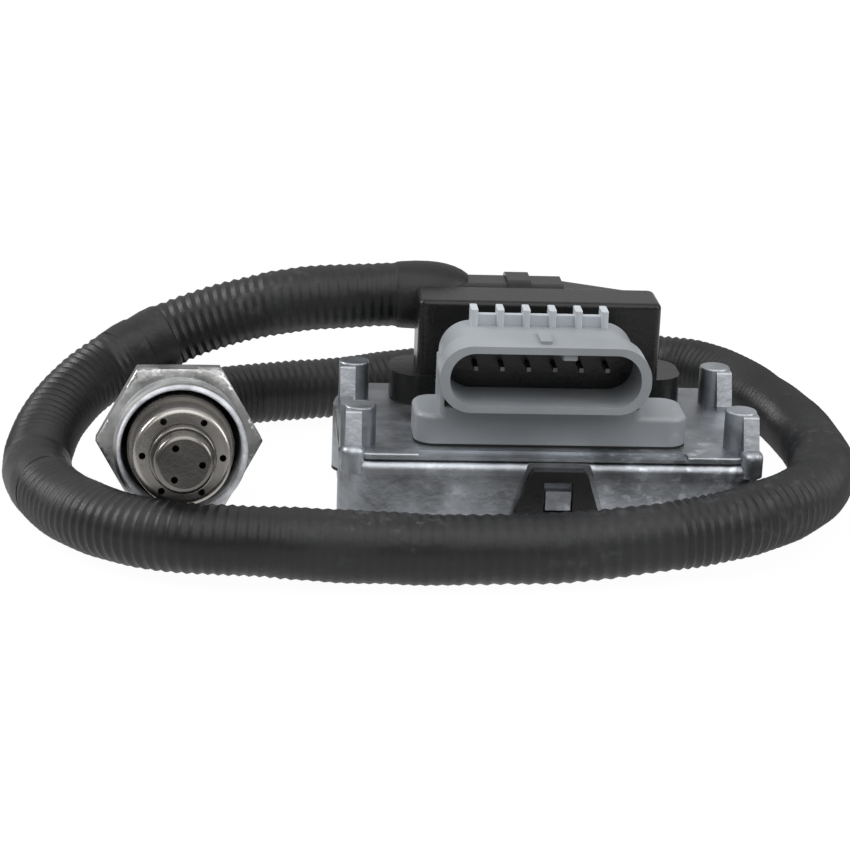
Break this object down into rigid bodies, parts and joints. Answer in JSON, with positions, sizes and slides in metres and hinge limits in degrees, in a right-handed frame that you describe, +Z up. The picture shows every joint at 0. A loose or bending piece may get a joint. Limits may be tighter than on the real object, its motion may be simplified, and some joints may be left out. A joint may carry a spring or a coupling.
{
  "type": "nitrogen oxide sensor",
  "caption": "Exhaust gas sensor: a screw-in probe joined by a corrugated conduit to a cast control unit with a shrouded plug socket and a black cable hood.",
  "frame": {"origin": "centre of the control unit's underside, on the surface that everything lies on", "axes": "+Z up, +X to the unit's right seen from its plug socket, the socket opens toward -Y"},
  "size_m": [0.1353, 0.1105, 0.0333],
  "materials": {
    "cast_housing": "cast, dull",
    "black_moulding": "satin",
    "grey_moulding": "satin",
    "seal_rubber": "matt",
    "board": "satin",
    "chip_package": "matt",
    "capacitor_can": "satin",
    "pad_silicone": "matt",
    "steel": "plated",
    "pin_metal": "tinned",
    "lead_jacket": "matt",
    "conduit_sleeve": "matt",
    "probe_steel": "drawn",
    "plated_steel": "turned",
    "ceramic": "fired",
    "talc": "pressed powder"
  },
  "bodies": {
    "sensor": {"control_housing": "cast_housing", "base_cover": "black_moulding", "cover_seal": "seal_rubber", "circuit_board": "board", "processor_chip": "chip_package", "power_capacitors": "capacitor_can", "driver_chips": "chip_package", "thermal_pad": "pad_silicone", "board_screws": "steel", "plug_socket": "grey_moulding", "pin_carrier": "black_moulding", "socket_gasket": "seal_rubber", "contact_pins": "pin_metal", "cable_hood": "black_moulding", "hood_gasket": "seal_rubber", "wire_grommet": "seal_rubber", "lead_wires": "lead_jacket", "conduit": "conduit_sleeve", "probe_shell": "probe_steel", "outer_protection_tube": "probe_steel", "inner_protection_tube": "probe_steel", "sensing_element": "ceramic", "front_bush": "ceramic", "talc_ring": "talc", "rear_bush": "ceramic", "contact_clamp": "ceramic", "rear_sleeve": "probe_steel", "cable_grommet": "seal_rubber", "probe_leads": "lead_jacket", "conduit_boot": "seal_rubber"},
    "fitting": {"hex_nut": "plated_steel"}
  },
  "joints": [
    {"name": "fitting_turn", "type": "hinge", "parent": "sensor", "child": "fitting", "pos_m": [-0.0562, -0.0091, 0.0124], "axis": [0.0463, -0.9809, 0.1891], "continuous": true}
  ]
}
